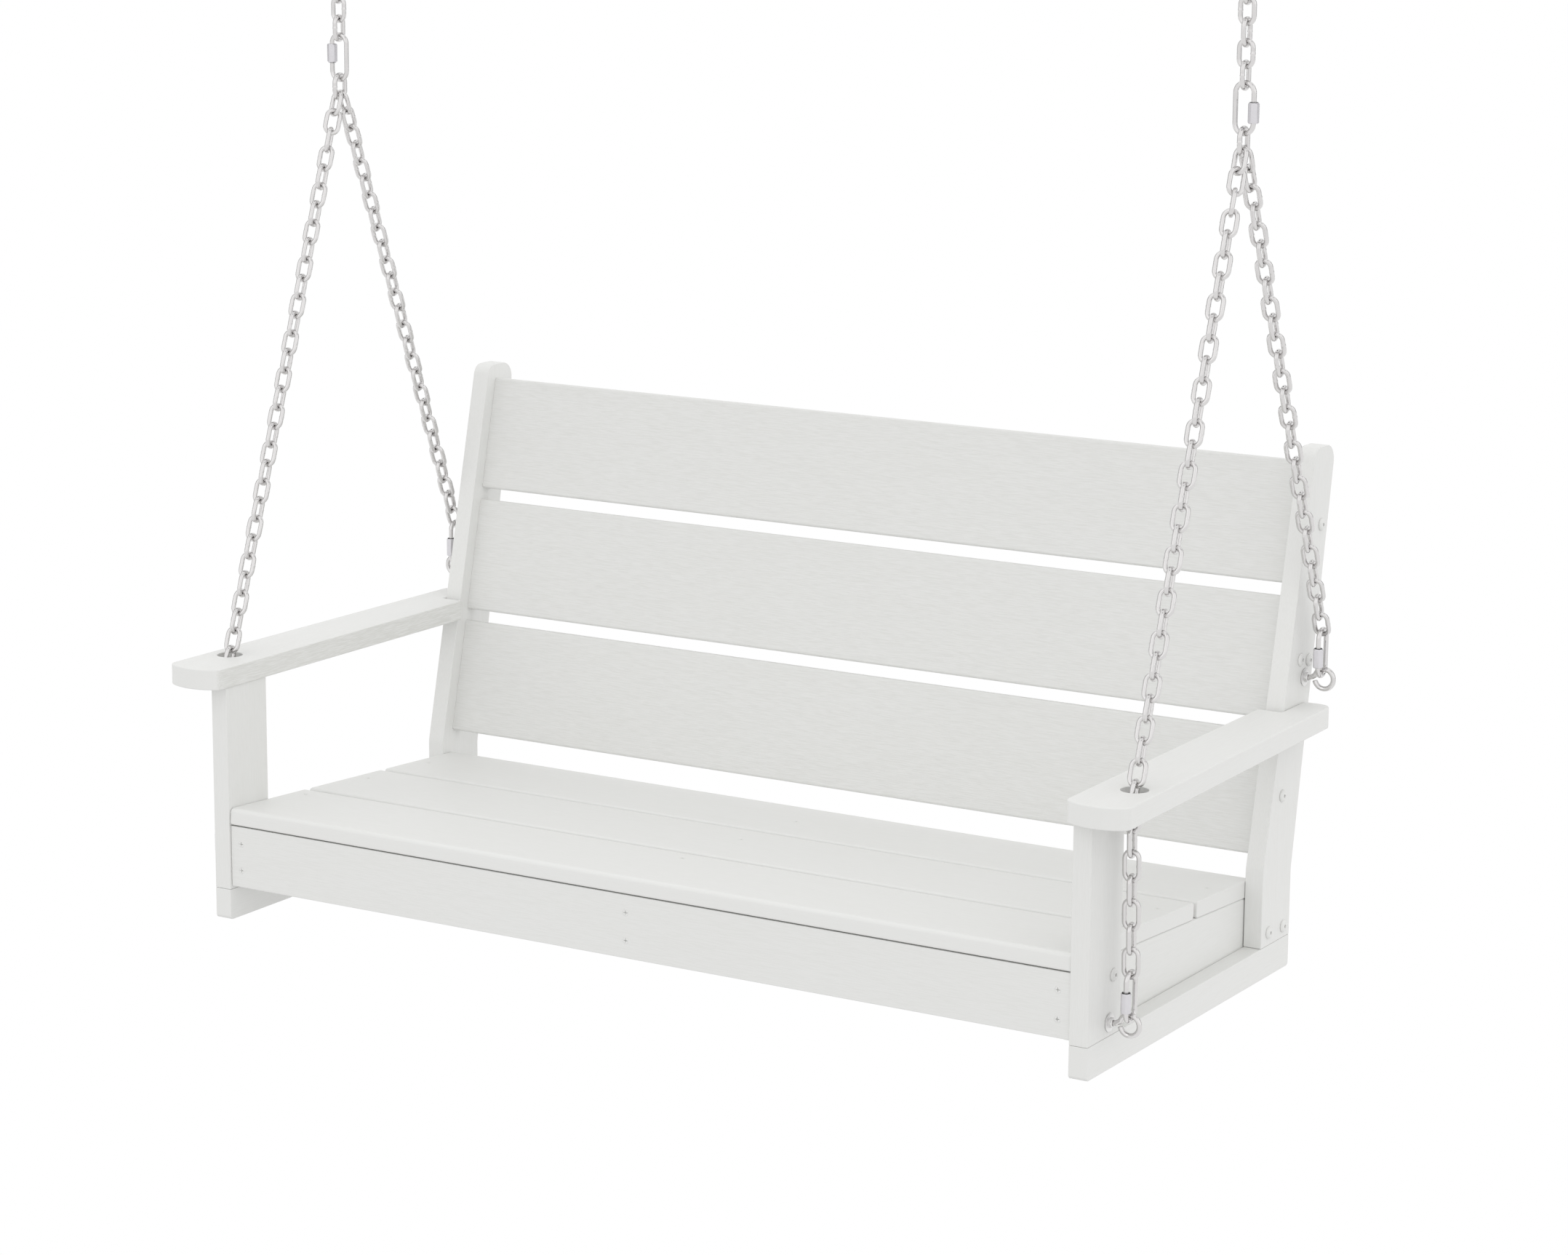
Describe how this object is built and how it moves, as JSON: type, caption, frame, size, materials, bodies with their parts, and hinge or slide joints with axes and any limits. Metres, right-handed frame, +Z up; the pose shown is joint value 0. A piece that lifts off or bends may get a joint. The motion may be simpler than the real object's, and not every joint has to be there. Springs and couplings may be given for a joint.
{
  "type": "porch swing",
  "caption": "Bench swing of white plastic lumber with slatted seat and back, hung from two steel chain bridles on ceiling pad eyes.",
  "frame": {"origin": "on the floor plane of the base rails' undersides, under the middle of the swing's width and depth", "axes": "+Z up, +Y towards the back of the seat, +X to the right seen from the front"},
  "size_m": [1.3444, 0.6579, 1.2934],
  "materials": {
    "lumber": "off-white plastic lumber with an embossed wood grain",
    "zinc_steel": "bright zinc plating"
  },
  "bodies": {
    "ceiling_hangers": {"hanger_left": "zinc_steel", "hanger_right": "zinc_steel", "lag_screw_left_front": "zinc_steel", "lag_screw_left_rear": "zinc_steel", "lag_screw_right_front": "zinc_steel", "lag_screw_right_rear": "zinc_steel"},
    "top_link_left": {"top_link_left": "zinc_steel"},
    "upper_chain_left": {"upper_chain_left": "zinc_steel", "quick_link_left_top": "zinc_steel"},
    "junction_link_left": {"junction_link_left": "zinc_steel"},
    "top_link_right": {"top_link_right": "zinc_steel"},
    "upper_chain_right": {"upper_chain_right": "zinc_steel", "quick_link_right_top": "zinc_steel"},
    "junction_link_right": {"junction_link_right": "zinc_steel"},
    "seat": {"base_rail_left": "lumber", "base_rail_right": "lumber", "front_post_left": "lumber", "front_post_right": "lumber", "rear_post_left": "lumber", "rear_post_right": "lumber", "armrest_left": "lumber", "armrest_right": "lumber", "side_rail_left": "lumber", "side_rail_right": "lumber", "front_apron": "lumber", "rear_rail": "lumber", "centre_seat_support": "lumber", "seat_slat_front": "lumber", "seat_slat_middle": "lumber", "seat_slat_rear": "lumber", "back_slat_top": "lumber", "back_slat_middle": "lumber", "back_slat_bottom": "lumber", "eye_bolt_left_front": "zinc_steel", "eye_flange_nut_left_front": "zinc_steel", "eye_lock_nut_left_front": "zinc_steel", "quick_link_left_front": "zinc_steel", "eye_bolt_left_rear": "zinc_steel", "eye_flange_nut_left_rear": "zinc_steel", "eye_lock_nut_left_rear": "zinc_steel", "quick_link_left_rear": "zinc_steel", "front_chain_left": "zinc_steel", "rear_chain_left": "zinc_steel", "eye_bolt_right_front": "zinc_steel", "eye_flange_nut_right_front": "zinc_steel", "eye_lock_nut_right_front": "zinc_steel", "quick_link_right_front": "zinc_steel", "eye_bolt_right_rear": "zinc_steel", "eye_flange_nut_right_rear": "zinc_steel", "eye_lock_nut_right_rear": "zinc_steel", "quick_link_right_rear": "zinc_steel", "front_chain_right": "zinc_steel", "rear_chain_right": "zinc_steel"},
    "sleeve_left_front": {"quick_link_sleeve_left_front": "zinc_steel"},
    "sleeve_left_rear": {"quick_link_sleeve_left_rear": "zinc_steel"},
    "sleeve_left_top": {"quick_link_sleeve_left_top": "zinc_steel"},
    "sleeve_right_front": {"quick_link_sleeve_right_front": "zinc_steel"},
    "sleeve_right_rear": {"quick_link_sleeve_right_rear": "zinc_steel"},
    "sleeve_right_top": {"quick_link_sleeve_right_top": "zinc_steel"}
  },
  "joints": [
    {"name": "swing_left", "type": "hinge", "parent": "ceiling_hangers", "child": "top_link_left", "pos_m": [-0.6364, 0.00616, 1.2069], "axis": [1, 0, 0], "range_deg": [-30, 30]},
    {"name": "sway_left", "type": "hinge", "parent": "top_link_left", "child": "upper_chain_left", "pos_m": [-0.6364, 0.00616, 1.18445], "axis": [0, 1, 0], "range_deg": [-8, 8]},
    {"name": "level_left", "type": "hinge", "parent": "upper_chain_left", "child": "junction_link_left", "pos_m": [-0.6364, 0.00616, 1.0445], "axis": [0, 1, 0], "range_deg": [-8, 8]},
    {"name": "swing_right", "type": "hinge", "parent": "ceiling_hangers", "child": "top_link_right", "pos_m": [0.6364, 0.00616, 1.2069], "axis": [1, 0, 0], "range_deg": [-30, 30]},
    {"name": "sway_right", "type": "hinge", "parent": "top_link_right", "child": "upper_chain_right", "pos_m": [0.6364, 0.00616, 1.18445], "axis": [0, 1, 0], "range_deg": [-8, 8]},
    {"name": "level_right", "type": "hinge", "parent": "upper_chain_right", "child": "junction_link_right", "pos_m": [0.6364, 0.00616, 1.0445], "axis": [0, 1, 0], "range_deg": [-8, 8]},
    {"name": "seat_pitch", "type": "hinge", "parent": "junction_link_left", "child": "seat", "pos_m": [-0.6364, 0.00616, 1.0242], "axis": [1, 0, 0], "range_deg": [-10, 10]},
    {"name": "sleeve_left_front_travel", "type": "slide", "parent": "seat", "child": "sleeve_left_front", "axis": [0, 0, 1], "range_m": [0, 0.01]},
    {"name": "sleeve_left_rear_travel", "type": "slide", "parent": "seat", "child": "sleeve_left_rear", "axis": [0, 0, 1], "range_m": [0, 0.01]},
    {"name": "sleeve_left_top_travel", "type": "slide", "parent": "upper_chain_left", "child": "sleeve_left_top", "axis": [0, 0, -1], "range_m": [0, 0.01]},
    {"name": "sleeve_right_front_travel", "type": "slide", "parent": "seat", "child": "sleeve_right_front", "axis": [0, 0, 1], "range_m": [0, 0.01]},
    {"name": "sleeve_right_rear_travel", "type": "slide", "parent": "seat", "child": "sleeve_right_rear", "axis": [0, 0, 1], "range_m": [0, 0.01]},
    {"name": "sleeve_right_top_travel", "type": "slide", "parent": "upper_chain_right", "child": "sleeve_right_top", "axis": [0, 0, 1], "range_m": [0, 0.01]}
  ],
  "couplings": [
    {"joint": "swing_right", "follows": "swing_left", "ratio": 1},
    {"joint": "sway_right", "follows": "sway_left", "ratio": 1},
    {"joint": "level_left", "follows": "sway_left", "ratio": -1},
    {"joint": "level_right", "follows": "sway_left", "ratio": -1}
  ]
}
